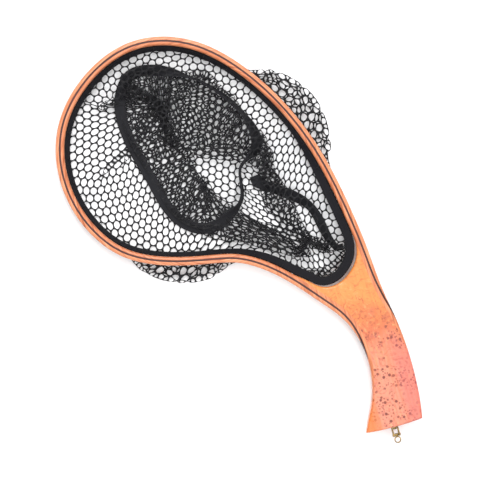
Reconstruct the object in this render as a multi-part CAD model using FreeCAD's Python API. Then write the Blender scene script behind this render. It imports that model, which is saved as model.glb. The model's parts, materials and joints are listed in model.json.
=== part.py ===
import FreeCAD, Part
import math
import os

from FreeCAD import Vector

# A wooden landing net with a curved handle, lying flat on its collapsed bag.
# Millimetres, +Z up.  While it is drawn, X runs from the hoop's tip to the
# handle, Y across the hoop, and (0, 0) is the handle end of the net's mouth.
# The finished pieces are then moved so that the origin is the bottom centre
# of the whole object's box.

# Wooden frame
HOOP_LENGTH = 344.6
HOOP_WIDTH = 236.6
HOOP_DEPTH = 13.0
HANDLE_LENGTH = 160.3
HANDLE_DROP = math.radians(35.0)
GRIP_WIDTH = 42.6
GRIP_DEPTH = 19.0
SWELL_START = 0.08
SWELL_END = 0.40
BUTT_WIDTH = 60.4
BUTT_TILT = math.radians(4.0)
OUTER_STRIP = 3.6
ACCENT_STRIP = 2.0
INNER_STRIP = 3.4
EDGE_ROUND = 2.6
BUTT_BULGE = 1.6
STRIP_RUNOUT = 0.06
RUNOUT_START = 26.0
RUNOUT_EASE = 12.0
STRIP_TIP = 0.4

# Height of the frame above the ground, where folds of the bag lie under it
FRAME_LIFT = 9.0

# Lacing
LACING_PITCH = 28.0
GROOVE_DEPTH = 2.0
GROOVE_HEIGHT = 2.8
GROOVE_CORD = 1.0
LOOP_CORD = 0.8
LOOP_CLEARANCE = 0.02
LACING_HOLE = 2.9
DRILL_PAST = 2.0
TAPE_EYELET = 1.2
LOOP_REACH = 3.0

# Bag
RIM_TAPE_WIDTH = 9.0
RIM_TAPE_THICKNESS = 0.9
RIM_TAPE_GAP = 0.5
YOKE_GAP = 2.0
YOKE_GAP_LENGTH = 24.0
NET_THICKNESS = 1.6
SKIRT_THICKNESS = 1.6
SEAM_TAPE_WIDTH = 11.3
SEAM_TAPE_THICKNESS = 1.2
SIDE_SEAM_SAMPLES = 40
UPPER_BULGE = 29.0
UPPER_BULGE_SPREAD = 128.0
LOWER_BULGE = 20.0
LOWER_BULGE_SPREAD = 126.0

# Lanyard swivel on the butt
SCREW_SHANK = 2.4
SCREW_DEPTH = 18.0
SCREW_HEAD = 3.8
SCREW_HEAD_HEIGHT = 1.3
SCREW_HEAD_ROUND = 0.5
STIRRUP_GAP = 4.4
STIRRUP_LEG = 1.6
STIRRUP_WIDTH = 3.6
STIRRUP_BRIDGE = 1.2
STIRRUP_BEND = 0.96
SWIVEL_CLEARANCE = 0.2
PIN_REACH = 8.8
PIN_DIAMETER = 1.4
PIN_HEAD = 2.4
PIN_HEAD_HEIGHT = 0.5
PIN_HOLE_CLEARANCE = 0.1
EYE_OUTER = 7.2
EYE_BORE = 4.9
EYE_THICKNESS = 1.6
EYE_REACH = 5.2
EYE_BARREL = 3.0
EYE_NECK = 2.8

# Outline of the hoop's outer edge, from the right side of the handle round
# the tip to the left side: distance from the mouth's end as a share of the
# hoop's length, and distance from its middle as a share of the hoop's width.
HOOP_STATIONS = [
    (0.007, 0.180),
    (0.120, 0.279),
    (0.277, 0.394),
    (0.446, 0.472),
    (0.622, 0.500),
    (0.798, 0.459),
    (0.942, 0.300),
    (0.998, 0.051),
    (0.968, -0.207),
    (0.849, -0.406),
    (0.680, -0.497),
    (0.589, -0.493),
    (0.503, -0.446),
    (0.359, -0.293),
    (0.293, -0.217),
    (0.217, -0.172),
    (0.133, -0.150),
    (0.010, -0.141),
]

# The handle along the straight line from the mouth's end to the middle of the
# butt: share of that length, how far the handle's middle bows away from the
# line as a share of the length, and half its width as a share of GRIP_WIDTH.
HANDLE_STATIONS = [
    (0.20, 0.055, 0.626),
    (0.32, 0.090, 0.543),
    (0.45, 0.108, 0.505),
    (0.58, 0.109, 0.505),
    (0.70, 0.094, 0.537),
    (0.82, 0.065, 0.599),
    (0.92, 0.028, 0.679),
]

# End of the mouth where the handle's core closes it, as shares of the hoop's
# length and width, from its left side to its right.
YOKE_STATIONS = [
    (0.090, -0.098),
    (0.041, -0.081),
    (0.010, -0.034),
    (0.000, 0.034),
    (0.010, 0.110),
]

# Middle of the bottom seam's closed loop, in the same shares.
SEAM_STATIONS = [
    (0.892, 0.150),
    (0.868, 0.055),
    (0.777, -0.057),
    (0.634, -0.153),
    (0.510, -0.214),
    (0.430, -0.175),
    (0.396, -0.080),
    (0.400, 0.040),
    (0.455, 0.140),
    (0.450, 0.240),
    (0.500, 0.310),
    (0.604, 0.345),
    (0.715, 0.335),
    (0.800, 0.290),
    (0.865, 0.230),
]

# Middle of the side seam, from the rim at the handle towards the bottom seam.
SIDE_SEAM_STATIONS = [
    (0.060, 0.093),
    (0.130, 0.121),
    (0.205, 0.173),
    (0.294, 0.162),
    (0.400, 0.118),
]

# Where the mouth's edge leaves the inner strip and becomes the yoke, on each
# side; where the lacing starts and ends; and the middles of the two places
# where folds of the bag bulge out under the hoop, all in the same shares.
YOKE_RIGHT = (0.055, 0.168)
YOKE_LEFT = (0.140, -0.113)
LACING_START = (0.100, 0.262)
LACING_END = (0.170, -0.160)
UPPER_BULGE_MIDDLE = (0.430, 0.455)
LOWER_BULGE_MIDDLE = (0.405, -0.370)

# How finely curves are sampled and split, how far outside the wood the
# splitting faces reach, and the least share of a side's length that makes an
# edge upright.
SAMPLES = 120
CHAIN_EDGES = 24
OUTSIDE = 6.0
UPRIGHT_SHARE = 0.9

mid_plane = FRAME_LIFT + HOOP_DEPTH / 2.0
strip_total = OUTER_STRIP + ACCENT_STRIP + INNER_STRIP
handle_axis = Vector(math.cos(HANDLE_DROP), -math.sin(HANDLE_DROP), 0)
handle_across = Vector(math.sin(HANDLE_DROP), math.cos(HANDLE_DROP), 0)
butt_angle = HANDLE_DROP + BUTT_TILT
butt_axis = Vector(math.cos(butt_angle), -math.sin(butt_angle), 0)
butt_across = Vector(math.sin(butt_angle), math.cos(butt_angle), 0)
butt_middle = handle_axis * HANDLE_LENGTH


def hoop_point(station):
    return Vector(-station[0] * HOOP_LENGTH, station[1] * HOOP_WIDTH, 0)


def handle_point(station, side):
    along, bow, half = station
    sideways = bow * HANDLE_LENGTH + side * half * GRIP_WIDTH
    return handle_axis * (along * HANDLE_LENGTH) + handle_across * sideways


def spline(points, closed=False, **tangents):
    curve = Part.BSplineCurve()
    curve.interpolate(Points=points, PeriodicFlag=closed, **tangents)
    return curve


def samples_along(curve, count, closed=False):
    """Evenly spaced points on a curve, each with the unit vector to its left."""
    edge = curve.toShape()
    points = edge.discretize(Number=count + 1 if closed else count)
    found = []
    for point in points[:-1] if closed else points:
        along = curve.tangent(curve.parameter(point))[0]
        found.append((point, Vector(-along.y, along.x, 0)))
    return found


def offset_curve(stations, distance, closed=False):
    """Curve at a distance to the left, where distance is a number or a list."""
    if not isinstance(distance, list):
        distance = [distance] * len(stations)
    moved = [point + left * amount for (point, left), amount in zip(stations, distance)]
    return spline(moved, closed)


def edges_of(curve):
    """A long curve as a chain of short edges, which makes small, simple faces."""
    first = curve.FirstParameter
    step = (curve.LastParameter - first) / CHAIN_EDGES
    chain = []
    for index in range(CHAIN_EDGES):
        piece = curve.copy()
        piece.segment(first + index * step, first + (index + 1) * step)
        chain.append(piece.toShape())
    return chain


def wire_face(*edges):
    return Part.Face(Part.Wire(edges))


def line(start, end):
    return Part.LineSegment(start, end).toShape()


def slab(face, bottom, top):
    """Flat piece with the outline of a face between two heights."""
    return face.translated(Vector(0, 0, bottom)).extrude(Vector(0, 0, top - bottom))


def strip_face(inner, outer):
    """Face between two open curves that run the same way."""
    return wire_face(
        *edges_of(inner),
        line(inner.EndPoint, outer.EndPoint),
        *reversed(edges_of(outer)),
        line(outer.StartPoint, inner.StartPoint),
    )


def ring_face(outer, inner):
    """Face between two closed curves."""
    wires = [Part.Wire(edges_of(outer)), Part.Wire(edges_of(inner))]
    return Part.makeFace(wires, "Part::FaceMakerBullseye")


def make_outline():
    """Outer edge of the wood, from the butt's right corner to its left one."""
    right = [handle_point(station, 1) for station in reversed(HANDLE_STATIONS)]
    hoop = [hoop_point(station) for station in HOOP_STATIONS]
    left = [handle_point(station, -1) for station in HANDLE_STATIONS]
    corner = butt_across * (BUTT_WIDTH / 2.0)
    return spline([butt_middle + corner] + right + hoop + left + [butt_middle - corner])


outline = make_outline()
outline_stations = samples_along(outline, SAMPLES)


def runout(point):
    """How much of the strips the handle's shaping has taken off at a point."""
    past = point.x - RUNOUT_START
    return STRIP_RUNOUT * (math.hypot(past, RUNOUT_EASE) + past)


def glue_line(depth):
    """Line at a depth under the outer edge, which runs out along the handle."""
    depths = [depth - runout(point) for point, left in outline_stations]
    return offset_curve(outline_stations, depths)


glue_lines = [
    glue_line(-OUTSIDE),
    glue_line(OUTER_STRIP),
    glue_line(OUTER_STRIP + ACCENT_STRIP),
    glue_line(strip_total),
]


def make_mouth():
    """Inner edge of the hoop, closed at the handle's end by the yoke."""
    inner = glue_lines[-1]
    start = inner.parameter(hoop_point(YOKE_RIGHT))
    end = inner.parameter(hoop_point(YOKE_LEFT))
    hoop_part = inner.copy()
    hoop_part.segment(start, end)
    points = [hoop_part.EndPoint]
    points += [hoop_point(station) for station in YOKE_STATIONS]
    points.append(hoop_part.StartPoint)
    yoke_part = spline(
        points,
        InitialTangent=hoop_part.tangent(hoop_part.LastParameter)[0],
        FinalTangent=hoop_part.tangent(hoop_part.FirstParameter)[0],
    )
    return hoop_part, yoke_part


mouth_hoop, mouth_yoke = make_mouth()
mouth_face = wire_face(*edges_of(mouth_hoop), mouth_yoke.toShape())


def closed_samples(wire, count):
    """Evenly spaced points round a closed wire, with the unit vector outwards."""
    points = wire.discretize(Number=count + 1)[:-1]
    found = []
    for index, point in enumerate(points):
        along = points[(index + 1) % count] - points[index - 1]
        found.append((point, Vector(along.y, -along.x, 0).normalize()))
    return found


mouth_stations = closed_samples(mouth_face.OuterWire, SAMPLES)


def mouth_offset(inwards):
    """Closed curve at a distance inside the mouth's edge."""
    if isinstance(inwards, list):
        return offset_curve(mouth_stations, [-amount for amount in inwards], True)
    return offset_curve(mouth_stations, -inwards, True)


def make_blank():
    """The whole wooden frame as one body, before it is split into its strips."""
    start = outline.StartPoint
    end = outline.EndPoint
    bulge = butt_middle + butt_axis * BUTT_BULGE
    butt = Part.Arc(end, bulge, start).toShape()
    wires = [Part.Wire(edges_of(outline) + [butt]), mouth_face.OuterWire]
    body = tall(Part.makeFace(wires, "Part::FaceMakerBullseye"))
    side = body.common(make_side_profile())
    flat_edges = [edge for edge in side.Edges if is_rim_edge(edge)]
    return side.makeFillet(EDGE_ROUND, flat_edges)


def make_side_profile():
    """The frame seen from its side: a thin hoop that swells to the grip."""
    thin = HOOP_DEPTH / 2.0
    thick = GRIP_DEPTH / 2.0
    tip = -1.2 * HOOP_LENGTH
    swell = SWELL_START * HANDLE_LENGTH
    full = SWELL_END * HANDLE_LENGTH
    butt = 1.4 * HANDLE_LENGTH
    edges = []
    for side in (1, -1):
        near = Vector(swell, 0, mid_plane + side * thin)
        far = Vector(full, 0, mid_plane + side * thick)
        reach = Vector((full - swell) / 2.0, 0, 0)
        bend = Part.BezierCurve()
        bend.setPoles([near, near + reach, far - reach, far])
        edges.append(line(Vector(tip, 0, near.z), near))
        edges.append(bend.toShape())
        edges.append(line(far, Vector(butt, 0, far.z)))
    edges.append(line(Vector(tip, 0, mid_plane - thin), Vector(tip, 0, mid_plane + thin)))
    edges.append(line(Vector(butt, 0, mid_plane - thick), Vector(butt, 0, mid_plane + thick)))
    face = Part.Face(Part.Wire(Part.__sortEdges__(edges)))
    width = 2.0 * (HOOP_WIDTH + HANDLE_LENGTH)
    return face.translated(Vector(0, -width / 2.0, 0)).extrude(Vector(0, width, 0))


def is_rim_edge(edge):
    """True for the edges round the top and bottom of the frame."""
    box = edge.BoundBox
    upright = box.ZLength > UPRIGHT_SHARE * HOOP_DEPTH
    across = box.XLength < 0.01
    return not upright and not across


def between(curve, start_station, end_station):
    """Part of an open curve between the points nearest to two hoop stations."""
    piece = curve.copy()
    start = curve.parameter(hoop_point(start_station))
    end = curve.parameter(hoop_point(end_station))
    piece.segment(start, end)
    return piece


def tall(face):
    """A face made into a piece taller than the frame, to split it with."""
    return slab(face, mid_plane - GRIP_DEPTH, mid_plane + GRIP_DEPTH)


# Lacing: a cord in a groove round the outside holds a row of small loops,
# which come through holes in the hoop and take hold of the rim tape.
loop_radius = GROOVE_CORD / 2.0 + LOOP_CLEARANCE + LOOP_CORD / 2.0
cord_depth = loop_radius + LOOP_CORD / 2.0 + LOOP_CLEARANCE
lacing_line = between(glue_line(cord_depth), LACING_START, LACING_END)
loop_count = round(lacing_line.toShape().Length / LACING_PITCH)
lacing_stations = samples_along(lacing_line, loop_count)


def placed(shape, origin, along):
    """A shape drawn along +X, moved to an origin and turned to a direction."""
    turn = FreeCAD.Rotation(Vector(1, 0, 0), along)
    copy = shape.copy()
    copy.Placement = FreeCAD.Placement(origin, turn)
    return copy


def make_lacing_holes():
    length = strip_total + DRILL_PAST
    hole = Part.makeCylinder(LACING_HOLE / 2.0, length, Vector(0, 0, 0), Vector(1, 0, 0))
    lift = Vector(0, 0, mid_plane)
    return [placed(hole, point + lift, left) for point, left in lacing_stations]


def make_groove():
    outer = between(glue_line(-GROOVE_CORD), LACING_START, LACING_END)
    inner = between(glue_line(GROOVE_DEPTH), LACING_START, LACING_END)
    half = GROOVE_HEIGHT / 2.0
    groove = slab(strip_face(outer, inner), mid_plane - half, mid_plane + half)
    ends = []
    for point in (lacing_stations[0][0], lacing_stations[-1][0]):
        end = Part.makeCylinder(GROOVE_DEPTH + GROOVE_CORD, GROOVE_HEIGHT)
        ends.append(end.translated(point + Vector(0, 0, mid_plane - half)))
    return groove.fuse(ends)


def make_groove_cord():
    path = lacing_line.toShape()
    start = path.valueAt(path.FirstParameter)
    profile = Part.Circle(start, lacing_line.tangent(lacing_line.FirstParameter)[0], GROOVE_CORD / 2.0)
    cord = Part.Wire(path).makePipeShell([Part.Wire(profile.toShape())], True, True)
    return cord.translated(Vector(0, 0, mid_plane))


def make_lacing_loops():
    """One closed loop at each hole, all in one group of separate solids."""
    reach = strip_total + LOOP_REACH - cord_depth
    radius = LOOP_CORD / 2.0
    parts = []
    for side in (1, -1):
        start = Vector(0, 0, side * loop_radius)
        parts.append(Part.makeCylinder(radius, reach, start, Vector(1, 0, 0)))
    for middle, first in ((0, 90), (reach, 270)):
        ring = Part.makeTorus(loop_radius, radius, Vector(0, 0, 0), Vector(0, 0, 1), -180, 180, 180)
        ring.rotate(Vector(0, 0, 0), Vector(0, 0, 1), first)
        ring.rotate(Vector(0, 0, 0), Vector(1, 0, 0), 90)
        ring.translate(Vector(middle, 0, 0))
        parts.append(ring)
    loop = parts[0].fuse(parts[1:]).removeSplitter()
    lift = Vector(0, 0, mid_plane)
    return Part.Compound([placed(loop, point + lift, left) for point, left in lacing_stations])


def strip_end(depth):
    """How far along X the strips down to a depth run before they are too thin."""
    reach = (depth - STRIP_TIP) / STRIP_RUNOUT
    return RUNOUT_START + (reach * reach - RUNOUT_EASE * RUNOUT_EASE) / (2.0 * reach)


def make_strip_faces():
    """Outlines of the three bent strips, from the outside in, with blunt ends."""
    depths = [OUTER_STRIP, OUTER_STRIP + ACCENT_STRIP, strip_total]
    width = 2.0 * (HOOP_WIDTH + HANDLE_LENGTH)
    tip = Vector(-1.2 * HOOP_LENGTH, -width / 2.0, 0)
    faces = []
    for depth, inner in zip(depths, glue_lines[1:]):
        area = Part.makePlane(strip_end(depth) - tip.x, width, tip)
        face = strip_face(glue_lines[0], inner).common(area)
        faces.append(face.cut(faces) if faces else face)
    return faces


def make_strips(blank, strip_faces, core_face, holes):
    """The three bent strips; the inner one is all that the others leave."""
    outer_area = tall(strip_faces[0])
    accent_area = tall(strip_faces[1])
    outer = blank.common(outer_area).cut(holes + [make_groove()])
    accent = blank.common(accent_area).cut(holes)
    inner = blank.cut([outer_area, accent_area, tall(core_face)]).cut(holes)
    return outer, accent, inner


def make_core_face(strip_faces):
    """Outline of the handle's core, from the yoke to past the butt."""
    inner = glue_lines[-1]
    right = inner.copy()
    right.segment(inner.FirstParameter, inner.parameter(mouth_hoop.StartPoint))
    left = inner.copy()
    left.segment(inner.parameter(mouth_hoop.EndPoint), inner.LastParameter)
    past_butt = butt_axis * (4.0 * BUTT_BULGE + strip_total)
    face = wire_face(
        *edges_of(right),
        mouth_yoke.toShape(),
        *edges_of(left),
        line(left.EndPoint, left.EndPoint + past_butt),
        line(left.EndPoint + past_butt, right.StartPoint + past_butt),
        line(right.StartPoint + past_butt, right.StartPoint),
    )
    past_ends = strip_face(glue_lines[0], inner).cut(strip_faces)
    return face.fuse(past_ends).removeSplitter()


# Bag
def rim_gap(point):
    """Space between wood and rim tape, wider where the tape spans the yoke."""
    share = max(0.0, min(1.0, 1.0 + point.x / YOKE_GAP_LENGTH))
    return RIM_TAPE_GAP + YOKE_GAP * share * share * (3.0 - 2.0 * share)


rim_gaps = [rim_gap(point) for point, outwards in mouth_stations]


def inside_rim(distance):
    """Closed curve at a distance in from the rim tape's outer edge."""
    return mouth_offset([gap + distance for gap in rim_gaps])


def make_rim_tape():
    face = ring_face(inside_rim(0.0), inside_rim(RIM_TAPE_WIDTH))
    half = RIM_TAPE_THICKNESS / 2.0
    tape = slab(face, mid_plane - half, mid_plane + half)
    reach = strip_total + LOOP_REACH + loop_radius - cord_depth
    eyelets = []
    for point, left in lacing_stations:
        eyelet = Part.makeCylinder(TAPE_EYELET / 2.0, 4.0 * RIM_TAPE_THICKNESS)
        middle = point + left * reach + Vector(0, 0, mid_plane - 2.0 * RIM_TAPE_THICKNESS)
        eyelets.append(eyelet.translated(middle))
    return tape.cut(eyelets)


seam_line = spline([hoop_point(station) for station in SEAM_STATIONS], True)
seam_stations = samples_along(seam_line, SAMPLES, True)


def bulge_share(point, middle, spread):
    away = min(1.0, point.distanceToPoint(hoop_point(middle)) / spread)
    return 0.5 + 0.5 * math.cos(math.pi * away)


def make_footprint():
    """Edge of the collapsed bag on the ground: it bulges out at two places."""
    distances = []
    for (point, outwards), gap in zip(mouth_stations, rim_gaps):
        inside = gap + RIM_TAPE_WIDTH - SKIRT_THICKNESS / 2.0
        upper = bulge_share(point, UPPER_BULGE_MIDDLE, UPPER_BULGE_SPREAD)
        lower = bulge_share(point, LOWER_BULGE_MIDDLE, LOWER_BULGE_SPREAD)
        reach = inside + strip_total
        out = upper * (reach + UPPER_BULGE) + lower * (reach + LOWER_BULGE)
        distances.append(out - inside)
    return offset_curve(mouth_stations, distances, True)


def make_side_net():
    """The part of the bag's side wall that lies folded flat on the ground."""
    return slab(ring_face(make_footprint(), seam_line), 0.0, NET_THICKNESS)


def make_net_skirt():
    """The part of the bag's side wall that hangs from the rim tape."""
    inner = inside_rim(RIM_TAPE_WIDTH)
    outer = inside_rim(RIM_TAPE_WIDTH - SKIRT_THICKNESS)
    return slab(ring_face(outer, inner), NET_THICKNESS, mid_plane - RIM_TAPE_THICKNESS / 2.0)


def make_bottom_net():
    return slab(wire_face(*edges_of(seam_line)), 0.0, NET_THICKNESS)


def make_bottom_seam_tape():
    half = SEAM_TAPE_WIDTH / 2.0
    edges = [offset_curve(seam_stations, side * half, True) for side in (1, -1)]
    edges.sort(key=lambda edge: edge.toShape().Length)
    return slab(ring_face(edges[1], edges[0]), NET_THICKNESS, NET_THICKNESS + SEAM_TAPE_THICKNESS)


def make_side_seam_tape():
    middle = samples_along(spline([hoop_point(s) for s in SIDE_SEAM_STATIONS]), SIDE_SEAM_SAMPLES)
    half = SEAM_TAPE_WIDTH / 2.0
    face = strip_face(offset_curve(middle, half), offset_curve(middle, -half))
    bottom = NET_THICKNESS
    return slab(face, bottom, bottom + SEAM_TAPE_THICKNESS)


# Lanyard swivel, drawn with the butt's face at X = 0 and the pin along Y.
bridge_start = SWIVEL_CLEARANCE
bridge_end = bridge_start + STIRRUP_BRIDGE
head_start = bridge_end + SWIVEL_CLEARANCE
forward = Vector(1, 0, 0)
sideways = Vector(0, 1, 0)


def bar(radius, start, length, direction):
    return Part.makeCylinder(radius, length, start, direction)


def make_screw():
    shank = bar(SCREW_SHANK / 2.0, Vector(-SCREW_DEPTH, 0, 0), SCREW_DEPTH + head_start, forward)
    head = bar(SCREW_HEAD / 2.0, Vector(head_start, 0, 0), SCREW_HEAD_HEIGHT, forward)
    top = [edge for edge in head.Edges if edge.BoundBox.XMin > head_start + 0.5 * SCREW_HEAD_HEIGHT]
    return shank.fuse(head.makeFillet(SCREW_HEAD_ROUND, top)).removeSplitter()


def make_stirrup():
    """A strap bent to a U: its bridge turns on the screw, the pin joins its legs."""
    outside = STIRRUP_GAP + 2.0 * STIRRUP_LEG
    depth = STIRRUP_WIDTH
    corner = Vector(bridge_start, -outside / 2.0, -depth / 2.0)
    block = Part.makeBox(PIN_REACH - bridge_start, outside, depth, corner)
    bends = [edge for edge in block.Edges if is_bridge_bend(edge)]
    block = block.makeFillet(STIRRUP_BEND, bends)
    tip = bar(depth / 2.0, Vector(PIN_REACH, -outside / 2.0, 0), outside, sideways)
    inside_corner = Vector(bridge_end, -STIRRUP_GAP / 2.0, -depth)
    inside = Part.makeBox(PIN_REACH + depth, STIRRUP_GAP, 2.0 * depth, inside_corner)
    screw_hole = bar(SCREW_SHANK / 2.0 + PIN_HOLE_CLEARANCE, Vector(0, 0, 0), head_start, forward)
    pin_hole = bar(PIN_DIAMETER / 2.0, Vector(PIN_REACH, -outside, 0), 2.0 * outside, sideways)
    return block.fuse(tip).removeSplitter().cut([inside, screw_hole, pin_hole])


def is_bridge_bend(edge):
    box = edge.BoundBox
    return box.ZLength > UPRIGHT_SHARE * STIRRUP_WIDTH and box.XMax < bridge_end


def make_pin():
    outside = STIRRUP_GAP + 2.0 * STIRRUP_LEG
    length = outside + 2.0 * PIN_HEAD_HEIGHT
    start = Vector(PIN_REACH, -length / 2.0, 0)
    rod = bar(PIN_DIAMETER / 2.0, start, length, sideways)
    heads = []
    for side in (1, -1):
        base = Vector(PIN_REACH, side * outside / 2.0, 0)
        heads.append(bar(PIN_HEAD / 2.0, base, PIN_HEAD_HEIGHT, sideways * side))
    return rod.fuse(heads).removeSplitter()


def make_eye():
    """A flat ring with a barrel that swings on the pin."""
    middle = Vector(PIN_REACH + EYE_REACH, 0, -EYE_THICKNESS / 2.0)
    ring = Part.makeCylinder(EYE_OUTER / 2.0, EYE_THICKNESS, middle)
    barrel_length = STIRRUP_GAP - 2.0 * SWIVEL_CLEARANCE
    barrel_start = Vector(PIN_REACH, -barrel_length / 2.0, 0)
    barrel = bar(EYE_BARREL / 2.0, barrel_start, barrel_length, sideways)
    corner = Vector(PIN_REACH, -EYE_NECK / 2.0, -EYE_THICKNESS / 2.0)
    neck = Part.makeBox(EYE_REACH, EYE_NECK, EYE_THICKNESS, corner)
    bore = Part.makeCylinder(EYE_BORE / 2.0, EYE_THICKNESS, middle)
    pin_radius = PIN_DIAMETER / 2.0 + PIN_HOLE_CLEARANCE
    pin_hole = bar(pin_radius, Vector(PIN_REACH, -EYE_OUTER, 0), 2.0 * EYE_OUTER, sideways)
    return ring.fuse([barrel, neck]).removeSplitter().cut([bore, pin_hole])


swivel_place = butt_middle + butt_axis * BUTT_BULGE + Vector(0, 0, mid_plane)


def on_butt(shape):
    return placed(shape, swivel_place, butt_axis)


def make_nodes():
    blank = make_blank()
    screw_hole = bar(SCREW_SHANK / 2.0, Vector(-SCREW_DEPTH, 0, 0), 2.0 * SCREW_DEPTH, forward)
    strip_faces = make_strip_faces()
    core_face = make_core_face(strip_faces)
    outer, accent, inner = make_strips(blank, strip_faces, core_face, make_lacing_holes())
    core = blank.common(tall(core_face)).cut(on_butt(screw_hole))
    return {
        "outer_lamination": outer,
        "accent_lamination": accent,
        "inner_lamination": inner,
        "handle_core": core,
        "groove_cord": make_groove_cord(),
        "lacing_loops": make_lacing_loops(),
        "rim_tape": make_rim_tape(),
        "net_skirt": make_net_skirt(),
        "side_net": make_side_net(),
        "bottom_net": make_bottom_net(),
        "bottom_seam_tape": make_bottom_seam_tape(),
        "side_seam_tape": make_side_seam_tape(),
        "swivel_screw": on_butt(make_screw()),
        "swivel_stirrup": on_butt(make_stirrup()),
        "pivot_pin": on_butt(make_pin()),
        "eye_link": on_butt(make_eye()),
    }


def box_bottom_centre(shapes):
    box = FreeCAD.BoundBox()
    for shape in shapes:
        box.add(shape.optimalBoundingBox())
    return Vector(box.Center.x, box.Center.y, box.ZMin)


nodes = make_nodes()
origin = box_bottom_centre(nodes.values())
os.makedirs("parts", exist_ok=True)
for name, shape in nodes.items():
    shape.translate(origin * -1.0)
    shape.exportStep("parts/" + name + ".step")
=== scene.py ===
import json
import math

import bpy
import numpy as np
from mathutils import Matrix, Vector


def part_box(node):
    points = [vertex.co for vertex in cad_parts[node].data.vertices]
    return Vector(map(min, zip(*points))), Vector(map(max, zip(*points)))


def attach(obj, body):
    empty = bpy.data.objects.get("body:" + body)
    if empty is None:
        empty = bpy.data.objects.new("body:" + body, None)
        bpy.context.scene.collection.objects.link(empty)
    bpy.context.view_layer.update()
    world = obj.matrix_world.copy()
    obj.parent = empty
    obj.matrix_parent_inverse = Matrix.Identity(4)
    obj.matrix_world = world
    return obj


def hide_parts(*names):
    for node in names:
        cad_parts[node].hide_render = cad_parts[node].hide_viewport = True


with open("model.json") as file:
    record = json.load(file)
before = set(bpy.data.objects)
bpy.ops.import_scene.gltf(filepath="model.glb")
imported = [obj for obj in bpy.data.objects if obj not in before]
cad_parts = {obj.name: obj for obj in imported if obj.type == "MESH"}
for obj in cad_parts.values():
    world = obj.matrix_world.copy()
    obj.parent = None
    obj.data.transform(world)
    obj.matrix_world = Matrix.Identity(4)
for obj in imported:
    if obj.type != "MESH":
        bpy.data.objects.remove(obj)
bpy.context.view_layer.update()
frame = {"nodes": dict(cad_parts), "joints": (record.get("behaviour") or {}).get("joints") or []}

nodes = frame["nodes"]

# Camera: straight above the net, turned to the photograph's framing
VIEW_TURN = math.radians(36.0)
VIEW_HEIGHT = 2.4
VIEW_WIDTH = 0.504
VIEW_MIDDLE = (-0.0151, -0.0411)

# Net
THREAD = 0.00135
LEAST_AREA_SHARE = 0.301
RIM_CELLS = 96
WALL_GATHER = 0.80
PANEL_WIDTH = 0.0082
PANEL_EXCESS = 1.08
HIDDEN_FOLD = 0.014
HIDDEN_UNDER_WOOD = 0.0065
FLAP_REACH = 0.100
FLAP_SPREAD = 0.185
FLANK_REACH = 0.060
FLANK_SPREAD = 0.130
FLAP_SLACK = 1.45
TUCK_SLACK = 1.06
UNDER_FLAP_SLACK = 1.35
UNDER_SLACK = 1.10
FLAP_HEIGHT = 0.0105
FLAP_SHIFT = np.array([-0.030, 0.0])
TUCK_REACH = 0.046
TUCK_HEIGHT = 0.0016
GUIDE_HEIGHT = 0.0035
SEAM_HEIGHT = 0.0055
WOOD_CLEARANCE = 0.0078
STEPS = 260
PASSES = 14
STEP_TIME = 1.0 / 60.0
GRAVITY = 2.5
DRAG = 0.965
FLOOR_GRIP = 0.6
TOP_SPEED = 0.6
SETTLE_SHARE = 0.7
CORRECTION_SHARE = 0.55
BRACE_PUSH = 0.10
BRACE_PULL = 0.02

# Tapes
STEEP_TILT = math.radians(62.0)
FLAT_TILT = math.radians(16.0)
TAPE_THICKNESS = 0.0009
RIB_PITCH = 0.0011
STITCH_PITCH = 0.0032
STITCH_SIZE = (0.0022, 0.0006, 0.0005)
SEAM_DROP = 0.0012
ON_EDGE_TILT = 1.30
ON_EDGE_LIFT = 0.0028


# ---------------------------------------------------------------- outlines
def face_outlines(node, height):
    """Closed outlines of a node's level faces at a height, longest first."""
    mesh = nodes[node].data
    points = np.array([tuple(v.co) for v in mesh.vertices])
    level = np.abs(points[:, 2] - height) < 2e-5
    uses = {}
    for face in mesh.polygons:
        corners = list(face.vertices)
        if not level[corners].all():
            continue
        keys = [tuple(np.round(points[c, :2] * 1e6).astype(int)) for c in corners]
        for a, b in zip(keys, keys[1:] + keys[:1]):
            uses[(a, b)] = uses.get((a, b), 0) + 1
    after = {a: b for (a, b) in uses if (b, a) not in uses}
    outlines = []
    while after:
        first, here = after.popitem()
        outline = [first]
        while here in after:
            outline.append(here)
            here = after.pop(here)
        outlines.append(counterclockwise(np.array(outline) * 1e-6))
    return sorted(outlines, key=perimeter, reverse=True)


def counterclockwise(points):
    x, y = points.T
    area = np.sum(x * np.roll(y, -1) - y * np.roll(x, -1))
    return points if area > 0 else points[::-1]


def perimeter(points):
    return np.linalg.norm(points - np.roll(points, 1, axis=0), axis=1).sum()


class Loop:
    """A closed outline that gives the point at any share of its length."""

    def __init__(self, points, start):
        nearest = np.argmin(((points - start) ** 2).sum(axis=1))
        self.points = np.roll(points, -nearest, axis=0)
        self.closed = np.vstack([self.points, self.points[:1]])
        steps = np.linalg.norm(np.diff(self.closed, axis=0), axis=1)
        self.along = np.concatenate([[0.0], np.cumsum(steps)])
        self.length = self.along[-1]
        self.middle = self.at(np.arange(400) / 400.0).mean(axis=0)

    def at(self, share):
        where = (np.asarray(share) % 1.0) * self.length
        return np.stack([np.interp(where, self.along, self.closed[:, k]) for k in (0, 1)], -1)

    def left(self, share, reach=0.003):
        """Unit vector to the left, which is inwards on these outlines."""
        step = reach / self.length
        along = self.at(np.asarray(share) + step) - self.at(np.asarray(share) - step)
        along = along / np.linalg.norm(along, axis=-1, keepdims=True)
        return np.stack([-along[..., 1], along[..., 0]], -1)


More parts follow.
